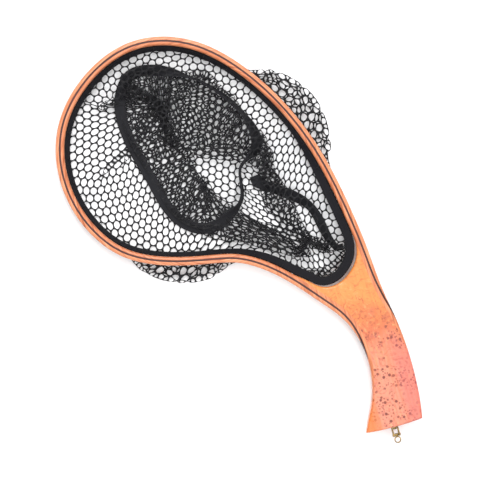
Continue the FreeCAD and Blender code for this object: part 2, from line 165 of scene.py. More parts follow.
def radius_at(points, middle, angles):
    """Distance from a middle point to an outline in the given directions."""
    closed = np.vstack([points, points[:1]]) - middle
    turn = np.unwrap(np.arctan2(closed[:, 1], closed[:, 0]))
    reach = np.linalg.norm(closed, axis=1)
    wrapped = turn[0] + (np.asarray(angles) - turn[0]) % (2.0 * math.pi)
    return np.interp(wrapped, turn, reach)


tape_low, tape_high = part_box("rim_tape")
seam_low, seam_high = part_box("bottom_seam_tape")
rim_outer, rim_inner = face_outlines("rim_tape", tape_high[2])[:2]
seam_outer, seam_inner = face_outlines("bottom_seam_tape", seam_high[2])[:2]
footprint = face_outlines("side_net", 0.0)[0]
yoke_end = np.array([tape_high[0], (tape_low[1] + tape_high[1]) / 2.0])
rim = Loop(rim_inner, yoke_end)
rim_edge = Loop(rim_outer, yoke_end)
seam_out = Loop(seam_outer, yoke_end)
seam_in = Loop(seam_inner, seam_out.points[0])
shares = np.arange(720) / 720.0
seam = Loop((seam_out.at(shares) + seam_in.at(shares)) / 2.0, yoke_end)
hoop_middle = rim.middle


def nearness(points, middle, spread):
    """1 at a middle point, falling smoothly to 0 at a distance."""
    away = np.minimum(np.linalg.norm(points - middle, axis=-1) / spread, 1.0)
    return 0.5 + 0.5 * np.cos(math.pi * away)


tape_width = float(np.median([np.min(np.linalg.norm(rim_inner - p, axis=1)) for p in rim_edge.points]))
tape_height = (tape_low[2] + tape_high[2]) / 2.0
flat_middle = np.array([tape_high[0] - 0.03, tape_high[1] - 0.075])


def tape_tilt(points):
    """The rim tape lies flat near the yoke and hangs steeply elsewhere."""
    flat = np.clip(1.6 * nearness(points, flat_middle, 0.13), 0.0, 1.0)
    return STEEP_TILT + (FLAT_TILT - STEEP_TILT) * flat


def rim_line(share):
    """Lower edge of the rim tape, where the net is sewn on."""
    edge = rim_edge.at(share)
    tilt = tape_tilt(edge)
    inwards = rim_edge.left(share)
    flat = edge + inwards * (tape_width * np.cos(tilt))[:, None]
    return np.column_stack([flat, tape_height - tape_width * np.sin(tilt)])


# ---------------------------------------------------------------- bag net
def smooth_closed(values, width):
    """A running mean round a closed row of numbers."""
    kernel = np.hanning(2 * width + 3)[1:-1]
    long_row = np.concatenate([values[-width:], values, values[:width]])
    return np.convolve(long_row, kernel / kernel.sum(), mode="valid")


PLAIN, OVER, UNDER, PANEL = range(4)
LAYER_GROUND = np.array([0.0010, 0.0082, 0.0010, 0.0034])
LAYER_HILLS = np.array([0.0050, 0.0045, 0.0010, 0.0022])


class Bag:
    """The knotless net as one flat-sided lattice of hexagons, with its threads
    along the edges: a wall under the rim and a panel inside the bottom seam."""

    def __init__(self):
        self.rest = []
        self.goal = {}
        self.faces = []
        self.layers = []
        self.index = {}
        self.columns = 2 * RIM_CELLS
        self.top = rim_line(np.arange(self.columns) / self.columns)
        self.cell = rim.length / RIM_CELLS
        self.row = 1.5 * self.cell / math.sqrt(3.0)
        self.plan()
        self.wall()
        self.panel()
        self.rest = np.array(self.rest)
        self.layers = np.array(self.layers)

    def plan(self):
        """Where each column of the wall folds under the hoop, and its depth."""
        share = np.arange(self.columns) / self.columns
        start = self.top[:, :2]
        end = seam.at(share)
        inwards = rim_edge.left(share)
        angles = np.arctan2(*(start - hoop_middle).T[::-1])
        reach = np.linalg.norm(start - hoop_middle, axis=1)
        bulge = radius_at(footprint, hoop_middle, angles) - reach
        fold = start - inwards * HIDDEN_FOLD
        bulging = np.clip((bulge - 0.016) / 0.012, 0.0, 1.0)[:, None]
        outward = (start - hoop_middle) / reach[:, None]
        self.fold = fold * (1.0 - bulging) + (start + outward * bulge[:, None]) * bulging
        near_yoke = nearness(start, yoke_end, 0.075)
        highest = start[np.argmax(start[:, 1])]
        flank = 0.55 * yoke_end + 0.45 * highest
        top_flap = FLAP_REACH * nearness(start, highest + FLAP_SHIFT, FLAP_SPREAD)
        side_flap = FLANK_REACH * nearness(start, flank, FLANK_SPREAD)
        reach = np.maximum(top_flap, side_flap)
        self.has_flap = reach > 0.014
        tuck = TUCK_REACH * (1.0 - nearness(start, yoke_end, 0.15)) * (1.0 - nearness(start, highest, 0.13))
        self.has_tuck = ~self.has_flap & (tuck > 0.010)
        under_panel = end + seam.left(share) * tuck[:, None]
        over_panel = start + inwards * reach[:, None]
        self.turn = np.where(self.has_flap[:, None], over_panel, under_panel)
        self.turns = self.has_flap | self.has_tuck
        down = np.linalg.norm(self.fold - start, axis=1)
        over_slack = np.where(self.has_flap, FLAP_SLACK, TUCK_SLACK)
        over = np.linalg.norm(self.turn - self.fold, axis=1) * over_slack
        straight = np.linalg.norm(end - self.fold, axis=1) * (1.12 + 0.12 * near_yoke)
        under_slack = np.where(self.has_flap, UNDER_FLAP_SLACK, UNDER_SLACK)
        under = np.linalg.norm(end - self.turn, axis=1) * under_slack
        depth = down + np.where(self.turns, over + under, straight)
        depth = smooth_closed(depth, 8)
        down = smooth_closed(down, 5)
        self.fold_row = np.round(down / self.row).astype(int)
        self.flap_row = np.round(smooth_closed(down + over, 5) / self.row).astype(int)
        self.depth_rows = np.round(depth / self.row).astype(int)
        self.near_yoke = near_yoke

    def wall(self):
        rows = int(self.depth_rows.max()) + 1
        narrow = np.append(hoop_middle, 0.0)
        for r in range(rows + 1):
            for k in range(self.columns):
                zigzag = 1.0 / 6.0 if (k + r) % 2 else -1.0 / 6.0
                down = max(r + zigzag, 0.0)
                share = min(down / self.depth_rows[k], 1.3)
                top = self.top[k]
                gathered = narrow + WALL_GATHER * (top - narrow)
                place = top + (gathered - top) * share
                self.rest.append((place[0], place[1], top[2] - down * self.row))
                over = self.has_flap[k] and self.fold_row[k] + 1 < r <= self.flap_row[k]
                tucked = self.has_tuck[k] and r > self.fold_row[k] + 2
                self.layers.append(OVER if over else UNDER if tucked else PLAIN)
        used = set()
        for r in range(rows):
            for k in range(self.columns):
                if (k + r) % 2 == 0:
                    continue
                middle = (k + 1) % self.columns
                if r + 0.5 > self.depth_rows[middle] - 0.5:
                    continue
                corners = [(r, k), (r, k + 1), (r, k + 2), (r + 1, k + 2), (r + 1, k + 1), (r + 1, k)]
                self.faces.append([a * self.columns + b % self.columns for a, b in corners])
                used.update(self.faces[-1])
        self.drop_unused(used, rows)

    def drop_unused(self, used, rows):
        """Keeps the lattice points that carry thread, and ties the outer ones."""
        meets = {}
        for face in self.faces:
            for corner in face:
                meets[corner] = meets.get(corner, 0) + 1
        fresh = {old: new for new, old in enumerate(sorted(used))}
        self.faces = [[fresh[c] for c in face] for face in self.faces]
        for old, new in fresh.items():
            r, k = divmod(old, self.columns)
            if r == 0:
                self.goal[new] = tuple(self.top[k])
            elif meets[old] < 3 and r > self.fold_row[k] + 1:
                self.goal[new] = (*seam.at(k / self.columns), SEAM_HEIGHT)
            elif r == self.fold_row[k] and self.near_yoke[k] < 0.35:
                self.goal[new] = (*self.fold[k], GUIDE_HEIGHT)
            elif r == self.flap_row[k] and self.turns[k]:
                self.goal[new] = (*self.turn[k], FLAP_HEIGHT if self.has_flap[k] else TUCK_HEIGHT)
        order = sorted(used)
        self.rest = [self.rest[old] for old in order]
        self.layers = [self.layers[old] for old in order]
        self.wall_faces = len(self.faces)

    def panel_point(self, place):
        key = tuple(int(round(value * 1e5)) for value in place)
        for across in (0, -1, 1):
            for along in (0, -1, 1):
                found = self.index.get((key[0] + across, key[1] + along))
                if found is not None:
                    return found
        self.index[key] = len(self.rest)
        self.rest.append((place[0], place[1], -self.depth_rows.mean() * self.row))
        self.layers.append(PANEL)
        return self.index[key]

    def panel(self):
        """Hexagons cut to a slightly larger copy of the bottom seam's outline."""
        side = PANEL_WIDTH / math.sqrt(3.0)
        turns = np.arange(6) * math.pi / 3.0
        corner = side * np.stack([np.sin(turns), np.cos(turns)], -1)
        meets = {}
        for j in range(-26, 27):
            for i in range(-26, 27):
                step = np.array([(i + 0.5 * (j % 2)) * PANEL_WIDTH, j * 1.5 * side])
                inside = step / PANEL_EXCESS
                angle = math.atan2(inside[1], inside[0])
                edge = float(radius_at(seam.points, seam.middle, angle))
                if np.linalg.norm(inside) > edge - 0.45 * PANEL_WIDTH:
                    continue
                face = [self.panel_point(seam.middle + step + c) for c in corner]
                self.faces.append(face)
                for point in face:
                    meets[point] = meets.get(point, 0) + 1
        for point, count in meets.items():
            if count < 3:
                away = np.array(self.rest[point][:2]) - seam.middle
                edge = float(radius_at(seam.points, seam.middle, math.atan2(away[1], away[0])))
                place = seam.middle + away / np.linalg.norm(away) * edge
                self.goal[point] = (*place, SEAM_HEIGHT)


def pairs_of(faces, links):
    """Sorted index pairs: the corners of each face that lie some steps apart."""
    found = set()
    for face in faces:
        for step, starts in links:
            for q in starts:
                found.add(tuple(sorted((face[q], face[(q + step) % 6]))))
    return np.array(sorted(found))


def pull(points, pairs, lengths, free, share, push, pull_in):
    """Moves the points of each pair towards their rest length."""
    a, b = pairs.T
    apart = points[b] - points[a]
    length = np.linalg.norm(apart, axis=1) + 1e-12
    error = length - lengths
    error = np.where(error < 0.0, error * push, error * pull_in)
    weight = np.maximum(free[a] + free[b], 1.0)
    move = (error / length / weight)[:, None] * apart
    total = np.zeros_like(points)
    count = len(points)
    for k in range(3):
        total[:, k] += np.bincount(a, move[:, k] * free[a], minlength=count)
        total[:, k] -= np.bincount(b, move[:, k] * free[b], minlength=count)
    return points + total / share[:, None]


def soft_noise(points, scale, seed):
    """A smooth repeatable pattern of hills, between about -1 and 1."""
    random = np.random.default_rng(seed)
    total = np.zeros(len(points))
    for turn in range(9):
        angle = random.uniform(0.0, 2.0 * math.pi)
        wave = random.uniform(0.7, 1.6) * scale
        phase = random.uniform(0.0, 2.0 * math.pi)
        ahead = points[:, 0] * math.cos(angle) + points[:, 1] * math.sin(angle)
        total += np.sin(ahead * wave + phase)
    return total / 3.0


def collapse(bag):
    """Lays the hanging bag down on the ground with gravity, tight threads, a
    floor and the wood above, by small repeated corrections of its points."""
    start = bag.rest
    count = len(start)
    tied = np.array(sorted(bag.goal))
    goal = np.array([bag.goal[t] for t in tied])
    free = np.ones(count)
    free[tied] = 0.0
    threads = pairs_of(bag.faces, [(1, range(6))])
    braces = pairs_of(bag.faces, [(2, range(6)), (3, range(3))])
    thread_length = np.linalg.norm(start[threads[:, 0]] - start[threads[:, 1]], axis=1)
    brace_length = np.linalg.norm(start[braces[:, 0]] - start[braces[:, 1]], axis=1)
    thread_share = np.maximum(np.bincount(threads.ravel(), minlength=count) * CORRECTION_SHARE, 1.0)
    brace_share = np.maximum(np.bincount(braces.ravel(), minlength=count) * CORRECTION_SHARE, 1.0)
    hills = 0.5 + 0.5 * np.clip(soft_noise(start[:, :2], 260.0, 3), -1.0, 1.0)
    ground = LAYER_GROUND[bag.layers] + LAYER_HILLS[bag.layers] * hills
    random = np.random.default_rng(5)
    points = start + random.normal(0.0, 0.0004, start.shape) * free[:, None]
    speed = np.zeros_like(points)
    angles = np.linspace(-math.pi, math.pi, 721)
    wood_edge = radius_at(rim_edge.points, hoop_middle, angles)
    furthest = np.maximum(radius_at(footprint, hoop_middle, angles), wood_edge + HIDDEN_UNDER_WOOD)
    steps = STEPS
    settle = SETTLE_SHARE * steps
    low = start[:, 2].min()
    for step in range(steps):
        part = min(1.0, (step + 1) / settle)
        ease = part * part * (3.0 - 2.0 * part)
        points[tied] = start[tied] * (1.0 - ease) + goal * ease
        before = points.copy()
        speed[:, 2] -= GRAVITY * STEP_TIME
        speed *= DRAG
        points = points + speed * STEP_TIME * free[:, None]
        floor = low * (1.0 - ease) + ground
        for turn in range(PASSES):
            points = pull(points, threads, thread_length, free, thread_share, 1.0, 1.0)
            points = pull(points, braces, brace_length, free, brace_share, BRACE_PUSH, BRACE_PULL)
            sunk = (points[:, 2] < floor) & (free > 0.0)
            points[sunk, 2] = floor[sunk]
            away = points[:, :2] - hoop_middle
            reach = np.linalg.norm(away, axis=1)
            angle = np.arctan2(away[:, 1], away[:, 0])
            edge = np.interp(angle, angles, wood_edge)
            under = (reach > edge - 0.003) & (free > 0.0)
            points[under, 2] = np.minimum(points[under, 2], WOOD_CLEARANCE)
            limit = np.interp(angle, angles, furthest)
            beyond = (reach > limit) & (free > 0.0)
            points[beyond, :2] = hoop_middle + away[beyond] * (limit / reach)[beyond, None]
        speed = (points - before) / STEP_TIME
        speed[sunk, :2] *= FLOOR_GRIP
        fast = np.linalg.norm(speed, axis=1, keepdims=True)
        speed *= np.minimum(1.0, TOP_SPEED / np.maximum(fast, 1e-9)) * free[:, None]
    return points


def make_object(name, points, faces, smooth=True):
    mesh = bpy.data.meshes.new(name)
    mesh.from_pydata([tuple(p) for p in points], [], faces)
    mesh.update()
    mesh.shade_smooth() if smooth else mesh.shade_flat()
    piece = bpy.data.objects.new(name, mesh)
    bpy.context.scene.collection.objects.link(piece)
    return piece


def applied(piece):
    """The piece with its modifiers worked into its mesh."""
    graph = bpy.context.evaluated_depsgraph_get()
    mesh = bpy.data.meshes.new_from_object(piece.evaluated_get(graph), depsgraph=graph)
    piece.modifiers.clear()
    piece.data = mesh
    mesh.shade_smooth()
    return piece


def make_net(name, points, faces):
    """Round threads along the edges of some faces of the lattice."""
    used = sorted({corner for face in faces for corner in face})
    fresh = {old: new for new, old in enumerate(used)}
    piece = make_object(name, points[used], [[fresh[c] for c in face] for face in faces])
    wires = piece.modifiers.new("threads", "WIREFRAME")
    wires.thickness = THREAD
    wires.use_even_offset = False
    wires.use_boundary = True
    wires.offset = 0.0
    rounding = piece.modifiers.new("round", "SUBSURF")
    rounding.levels = 1
    rounding.render_levels = 1
    return applied(piece)


def thread_area(rest, faces):
    """Half the surface of the threads round some faces, built before they fall."""
    before = make_net("net_before_the_fall", rest, faces)
    area = sum(face.area for face in before.data.polygons) / 2.0
    bpy.data.objects.remove(before)
    return area


# ---------------------------------------------------------------- tapes
def tape_section(width, thickness, crown):
    """Half-rounded outline of a woven tape, thicker along both selvedges."""
    across = np.array([-0.5, -0.46, -0.40, -0.22, 0.0, 0.22, 0.40, 0.46, 0.5])
    bead = np.array([0.35, 0.60, 0.46, 0.40, 0.42, 0.40, 0.46, 0.60, 0.35])
    top = [(a * width, b * thickness + crown * (1.0 - 4.0 * a * a)) for a, b in zip(across, bead)]
    low = [(a * width, -b * thickness + crown * (1.0 - 4.0 * a * a)) for a, b in zip(across, bead)]
    return top + low[::-1]


def make_tape(name, middles, sides, ups, width, closed, crown=0.0):
    """A ribbed tape along a line: sides point across it and ups out of it."""
    section = tape_section(width, TAPE_THICKNESS, crown)
    corners = len(section)
    points = []
    for index, (middle, side, up) in enumerate(zip(middles, sides, ups)):
        rib = 0.00011 * (1.0 if index % 2 else -1.0)
        for across, lift in section:
            points.append(middle + side * across + up * (lift + math.copysign(rib, lift)))
    rings = len(middles)
    faces = []
    for ring in range(rings if closed else rings - 1):
        for q in range(corners):
            a = ring * corners + q
            b = ring * corners + (q + 1) % corners
            c = ((ring + 1) % rings) * corners
            faces.append((a, b, c + (q + 1) % corners, c + q))
    if not closed:
        faces.append(tuple(range(corners))[::-1])
        faces.append(tuple(range((rings - 1) * corners, rings * corners)))
    piece = make_object(name, points, [tuple(face[::-1]) for face in faces])
    coordinates = piece.data.uv_layers.new(name="along")
    for loop in piece.data.loops:
        ring, q = divmod(loop.vertex_index, corners)
        coordinates.data[loop.index].uv = (ring * RIB_PITCH / 2.0, section[q][0])
    return piece


def make_stitches(name, middles, sides, ups, offsets, size):
    """Rows of small raised stitches lying along a tape."""
    points = []
    faces = []
    length, width, height = size
    alongs = np.roll(middles, -1, axis=0) - middles
    for middle, side, up, along in zip(middles, sides, ups, alongs):
        ahead = along / (np.linalg.norm(along) + 1e-12)
        for offset in offsets:
            base = len(points)
            place = middle + side * offset
            for share, swell in ((-0.5, 0.25), (-0.28, 0.9), (0.28, 0.9), (0.5, 0.25)):
                for turn in range(6):
                    angle = turn * math.pi / 3.0
                    round_side = side * math.cos(angle) * width * swell / 2.0
                    round_up = up * math.sin(angle) * height * swell / 2.0
                    points.append(place + ahead * share * length + round_side + round_up)
            for ring in range(3):
                for turn in range(6):
                    a = base + ring * 6 + turn
                    b = base + ring * 6 + (turn + 1) % 6
                    faces.append((a, b, b + 6, a + 6))
            faces.append(tuple(base + turn for turn in range(6))[::-1])
            faces.append(tuple(base + 18 + turn for turn in range(6)))
    return make_object(name, points, faces)


def raised(flat, height):
    return np.column_stack([flat, np.broadcast_to(height, len(flat))])


def unit(vectors):
    return vectors / np.linalg.norm(vectors, axis=-1, keepdims=True)


def tilted(sides_flat, tilt):
    """Side and up vectors of a tape turned about its own line by an angle."""
    tilt = np.broadcast_to(tilt, len(sides_flat))
    sides = np.column_stack([sides_flat * np.cos(tilt)[:, None], -np.sin(tilt)])
    ups = np.column_stack([sides_flat * np.sin(tilt)[:, None], np.cos(tilt)])
    return sides, ups


# ---------------------------------------------------------------- materials
def srgb(red, green, blue):
    """A colour given as everyday 0 to 255 values, as the shader wants it."""
    linear = []
    for value in (red, green, blue):
        share = value / 255.0
        linear.append(share / 12.92 if share <= 0.04045 else ((share + 0.055) / 1.055) ** 2.4)
    return (*linear, 1.0)


class Look:
    """A procedural material, built node by node."""

    def __init__(self, name, **surface):
        self.material = bpy.data.materials.new(name)
        self.material.use_nodes = True
        self.tree = self.material.node_tree
        self.shader = self.tree.nodes["Principled BSDF"]
        for key, value in surface.items():
            self.shader.inputs[key.replace("_", " ")].default_value = value
        self.place = self.add("ShaderNodeTexCoord").outputs["Object"]

    def add(self, kind, inputs=None, **settings):
        node = self.tree.nodes.new(kind)
        for key, value in settings.items():
            setattr(node, key, value)
        for key, value in (inputs or {}).items():
            self.feed(node.inputs[key], value)
        return node

    def feed(self, socket, value):
        if isinstance(value, bpy.types.NodeSocket):
            self.tree.links.new(value, socket)
        else:
            socket.default_value = value

    def maths(self, operation, first, second=0.0):
        return self.add("ShaderNodeMath", {0: first, 1: second}, operation=operation).outputs[0]

    def times(self, first, second):
        return self.maths("MULTIPLY", first, second)

    def dot(self, direction, source=None):
        inputs = {0: source or self.place, 1: direction}
        return self.add("ShaderNodeVectorMath", inputs, operation="DOT_PRODUCT").outputs["Value"]

    def vector(self, x, y, z):
        return self.add("ShaderNodeCombineXYZ", {0: x, 1: y, 2: z}).outputs[0]

    def noise(self, source, scale, detail=3.0, distortion=0.0, roughness=0.5):
        inputs = {"Vector": source, "Scale": scale, "Detail": detail}
        inputs.update({"Distortion": distortion, "Roughness": roughness})
        return self.add("ShaderNodeTexNoise", inputs).outputs["Fac"]

    def spread(self, value, low, high, start=0.0, end=1.0):
        inputs = {"Value": value, "From Min": low, "From Max": high, "To Min": start, "To Max": end}
        return self.add("ShaderNodeMapRange", inputs, interpolation_type="SMOOTHSTEP").outputs[0]

    def ramp(self, value, *stops):
        node = self.add("ShaderNodeValToRGB", {"Fac": value})
        while len(node.color_ramp.elements) < len(stops):
            node.color_ramp.elements.new(0.5)
        for element, (position, colour) in zip(node.color_ramp.elements, stops):
            element.position = position
            element.color = colour
        return node.outputs["Color"]

    def mix(self, share, first, second, blend="MIX"):
        node = self.add("ShaderNodeMix", data_type="RGBA", blend_type=blend)
        self.feed(node.inputs[0], share)
        self.feed(node.inputs[6], first)
        self.feed(node.inputs[7], second)
        return node.outputs[2]

    def bump(self, height, strength, distance):
        inputs = {"Height": height, "Strength": strength, "Distance": distance}
        self.feed(self.shader.inputs["Normal"], self.add("ShaderNodeBump", inputs).outputs[0])

    def finish(self, colour, roughness):
        self.feed(self.shader.inputs["Base Color"], colour)
        self.feed(self.shader.inputs["Roughness"], roughness)
        return self.material


swivel = next(j for j in frame["joints"] if j["name"] == "swivel_turn")
handle_along = Vector(swivel["axis"]).normalized()
handle_across = Vector((-handle_along.y, handle_along.x, 0.0))
butt_point = Vector(swivel["pos_m"])
core_low, core_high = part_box("handle_core")
yoke_point = Vector((core_low[0], core_high[1], 0.0))
handle_start = yoke_point.dot(handle_along)
handle_end = butt_point.dot(handle_along)
handle_side = butt_point.dot(handle_across)


def wood_grain(look):
    """Fine lines that follow the hoop's bend and then the handle."""
    parts = look.add("ShaderNodeSeparateXYZ", {0: look.place}).outputs
    x = look.maths("SUBTRACT", parts[0], float(hoop_middle[0]))
    y = look.maths("SUBTRACT", parts[1], float(hoop_middle[1]))
    angle = look.maths("ARCTAN2", y, x)
    radius = look.maths("SQRT", look.maths("ADD", look.times(x, x), look.times(y, y)))
    bent = look.vector(look.times(angle, 4.0), look.times(radius, 700.0),
                       look.times(parts[2], 500.0))
    straight = look.vector(look.times(look.dot(handle_along), 30.0),
                           look.times(look.dot(handle_across), 520.0),
                           look.times(parts[2], 420.0))
    share = look.spread(parts[0], -0.01, 0.06)
    bent_lines = look.noise(bent, 1.0, 4.0, 0.3)
    straight_lines = look.noise(straight, 1.0, 4.0, 0.3)
    return look.add("ShaderNodeMix", {0: share, 2: bent_lines, 3: straight_lines}).outputs[0]


def strip_look(name, pale, middle, dark):
    look = Look(name, Coat_Weight=0.25, Coat_Roughness=0.08, Specular_IOR_Level=0.30)
    grain = wood_grain(look)
    blotch = look.noise(look.place, 26.0, 2.0, 0.8)
    pores = look.spread(look.noise(look.place, 900.0, 2.0), 0.60, 0.74)
    lines = look.ramp(grain, (0.30, dark), (0.50, middle), (0.68, pale))
    toned = look.mix(look.spread(blotch, 0.35, 0.7, 0.0, 0.45), lines, middle)
    colour = look.mix(look.times(pores, 0.35), toned, dark)
    look.bump(grain, 0.12, 0.0004)
    return look.finish(colour, look.spread(grain, 0.2, 0.8, 0.30, 0.44))


def burl_look():
    """Burl wood: golden at the yoke, reddish swirls, then pink with dark eyes."""
    look = Look("burl_core", Coat_Weight=0.25, Coat_Roughness=0.06, Specular_IOR_Level=0.35)
    along = look.dot(handle_along)
    across = look.dot(handle_across)
    drift = look.noise(look.place, 38.0, 3.0, 1.2)
    wander = look.times(look.maths("SUBTRACT", drift, 0.5), 0.05)
    where = look.spread(look.maths("ADD", along, wander), handle_start, handle_end)
    base = look.ramp(
        where,
        (0.00, srgb(208, 126, 62)),
        (0.28, srgb(214, 132, 64)),
        (0.42, srgb(204, 116, 60)),
        (0.55, srgb(196, 104, 66)),
        (0.66, srgb(205, 118, 86)),
        (0.80, srgb(210, 130, 102)),
        (1.00, srgb(208, 128, 104)),
    )
    swirl = look.noise(look.place, 70.0, 4.0, 3.2, 0.6)
    swirled = look.mix(look.spread(swirl, 0.52, 0.70, 0.0, 0.55), base, srgb(158, 70, 46))
    light = look.mix(look.spread(swirl, 0.44, 0.30, 0.0, 0.5), swirled, srgb(232, 170, 116))
    eyes = look.add("ShaderNodeTexVoronoi", {"Vector": look.place, "Scale": 165.0, "Randomness": 1.0})
    small = look.add("ShaderNodeTexVoronoi", {"Vector": look.place, "Scale": 330.0, "Randomness": 1.0})
    crowd = look.spread(look.noise(look.place, 55.0, 2.0), 0.38, 0.56)
    past = look.spread(where, 0.34, 0.56)
    wobble = look.times(look.maths("SUBTRACT", look.noise(look.place, 300.0, 2.0), 0.5), 0.22)
    big_dot = look.spread(look.maths("ADD", eyes.outputs["Distance"], wobble), 0.33, 0.18)
    small_dot = look.spread(look.maths("ADD", small.outputs["Distance"], wobble), 0.38, 0.20)
    big_share = look.times(look.times(big_dot, past), look.spread(crowd, 0.1, 0.7, 0.35, 0.9))
    small_share = look.times(look.times(small_dot, past), look.times(crowd, 0.75))
    knots = look.times(look.spread(look.noise(look.place, 150.0, 4.0, 2.0, 0.65), 0.56, 0.68),
                       look.times(look.spread(where, 0.26, 0.36), look.spread(where, 0.56, 0.44)))
    stain = look.times(look.spread(look.noise(look.place, 110.0, 3.0, 0.6), 0.54, 0.68), past)
    clouded = look.mix(look.times(stain, 0.42), light, srgb(158, 78, 72))
    knotted = look.mix(look.times(knots, 0.75), clouded, srgb(150, 52, 40))
    spotted = look.mix(big_share, knotted, srgb(100, 36, 30))
    spotted = look.mix(small_share, spotted, srgb(116, 46, 38))
    streak = look.noise(look.vector(look.times(along, 14.0), look.times(across, 260.0), 0.0), 1.0)
    toned = look.mix(look.spread(streak, 0.42, 0.72, 0.0, 0.35), spotted, srgb(196, 96, 44))
    off_middle = look.maths("SUBTRACT", across, handle_side)
    near_butt = look.spread(where, 0.60, 0.80)
    left_share = look.times(look.spread(off_middle, -0.008, -0.022), near_butt)
    right_share = look.times(look.spread(off_middle, 0.010, 0.024), near_butt)
    warm = look.mix(look.times(left_share, 0.75), toned, srgb(206, 108, 30))
    colour = look.mix(look.times(right_share, 0.40), warm, srgb(186, 78, 84))
    look.bump(look.maths("ADD", swirl, look.times(big_dot, -0.2)), 0.10, 0.0006)
    return look.finish(colour, look.spread(swirl, 0.3, 0.7, 0.26, 0.42))


def thread_look(name, dark, light, roughness):
    """Twisted nylon: small colour changes and fine twist lines."""
    look = Look(name, Specular_IOR_Level=0.22)
    patch = look.noise(look.place, 140.0, 3.0)
    twist = look.noise(look.place, 2600.0, 2.0)
    colour = look.ramp(look.mix(0.5, patch, twist), (0.35, dark), (0.65, light))
    look.bump(twist, 0.35, 0.0002)
    return look.finish(colour, look.spread(patch, 0.3, 0.7, roughness - 0.08, roughness + 0.08))


def tape_look(name, dark, light):
    """Woven tape: warp lines along it and ribs across it."""
    look = Look(name, Specular_IOR_Level=0.12)
    uv = look.add("ShaderNodeUVMap", uv_map="along").outputs[0]
    parts = look.add("ShaderNodeSeparateXYZ", {0: uv}).outputs
    ribs = look.maths("SINE", look.times(parts[0], 2.0 * math.pi / RIB_PITCH))
    warp = look.maths("SINE", look.times(parts[1], 2.0 * math.pi / 0.0007))
    weave = look.times(look.maths("ADD", ribs, warp), 0.25)
    fuzz = look.noise(look.place, 1500.0, 3.0)
    fuzz_shade = look.times(look.maths("SUBTRACT", fuzz, 0.5), 0.6)
    shade = look.maths("ADD", look.maths("ADD", weave, 0.5), fuzz_shade)
    colour = look.ramp(shade, (0.10, dark), (0.90, light))
    look.bump(shade, 0.5, 0.0003)
    return look.finish(colour, look.spread(fuzz, 0.3, 0.7, 0.62, 0.82))


def brass_look():
    look = Look("aged_brass", Metallic=1.0, Specular_IOR_Level=0.5)
    wear = look.noise(look.place, 420.0, 4.0, 0.6)
    stretched = look.vector(look.dot((900.0, 0.0, 0.0)), look.dot((0.0, 900.0, 0.0)),
                            look.dot((0.0, 0.0, 120.0)))
    scratch = look.noise(stretched, 1.0)
    colour = look.ramp(wear, (0.32, srgb(58, 46, 28)), (0.52, srgb(122, 100, 62)),
                       (0.74, srgb(176, 152, 104)))
    look.bump(scratch, 0.15, 0.0002)
    return look.finish(colour, look.spread(wear, 0.3, 0.7, 0.46, 0.24))


def dress(node, material):
    """Gives a CAD node its finish."""
    slots = nodes[node].material_slots
    for slot in slots:
        slot.material = material


pale_wood = strip_look("pale_strip", srgb(222, 158, 120), srgb(206, 130, 90), srgb(160, 82, 48))
inner_wood = strip_look("inner_strip", srgb(216, 146, 106), srgb(194, 114, 74), srgb(146, 72, 42))
dark_wood = strip_look("dark_strip", srgb(84, 30, 18), srgb(56, 17, 10), srgb(30, 8, 6))
net_thread = thread_look("net_thread", srgb(7, 7, 9), srgb(26, 26, 30), 0.46)
cord_thread = thread_look("cord_thread", srgb(12, 12, 13), srgb(40, 38, 38), 0.60)
rim_weave = tape_look("rim_weave", srgb(8, 8, 10), srgb(36, 35, 40))
seam_weave = tape_look("seam_weave", srgb(8, 9, 11), srgb(44, 44, 48))
brass = brass_look()
dress("outer_lamination", pale_wood)
dress("accent_lamination", dark_wood)
dress("inner_lamination", inner_wood)
dress("handle_core", burl_look())
for node in ("groove_cord", "lacing_loops"):
    dress(node, cord_thread)
for node in ("swivel_screw", "swivel_stirrup", "pivot_pin", "eye_link"):
    dress(node, brass)


# ---------------------------------------------------------------- net pieces
bag = Bag()
laid = collapse(bag)
half = bag.wall_faces // 2
wall_top = make_net("side_net_upper", laid, bag.faces[:half])
wall_low = make_net("side_net_lower", laid, bag.faces[half : bag.wall_faces])
panel = make_net("bottom_panel", laid, bag.faces[bag.wall_faces:])
for piece, node in ((wall_top, "net_skirt"), (wall_low, "side_net"), (panel, "bottom_net")):
    piece.data.materials.append(net_thread)
    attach(piece, "frame")
    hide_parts(node)


# ---------------------------------------------------------------- tape pieces
def rings_of(length):
    return int(round(length / (RIB_PITCH / 2.0)))


count = rings_of(rim_edge.length)
share = np.arange(count) / count
edge_points = rim_edge.at(share)
inward = rim_edge.left(share)
width = tape_width
sides, ups = tilted(inward, tape_tilt(edge_points))
centres = raised(edge_points, tape_height) + sides * width / 2.0
rim_tape = make_tape("rim_binding", centres, sides, ups, width, True, crown=0.0004)
every = int(round(STITCH_PITCH / (RIB_PITCH / 2.0)))
rim_stitches = make_stitches("rim_stitches", centres[::every] + ups[::every] * 0.0006, sides[::every],
                             ups[::every], (-0.30 * width, 0.32 * width), STITCH_SIZE)

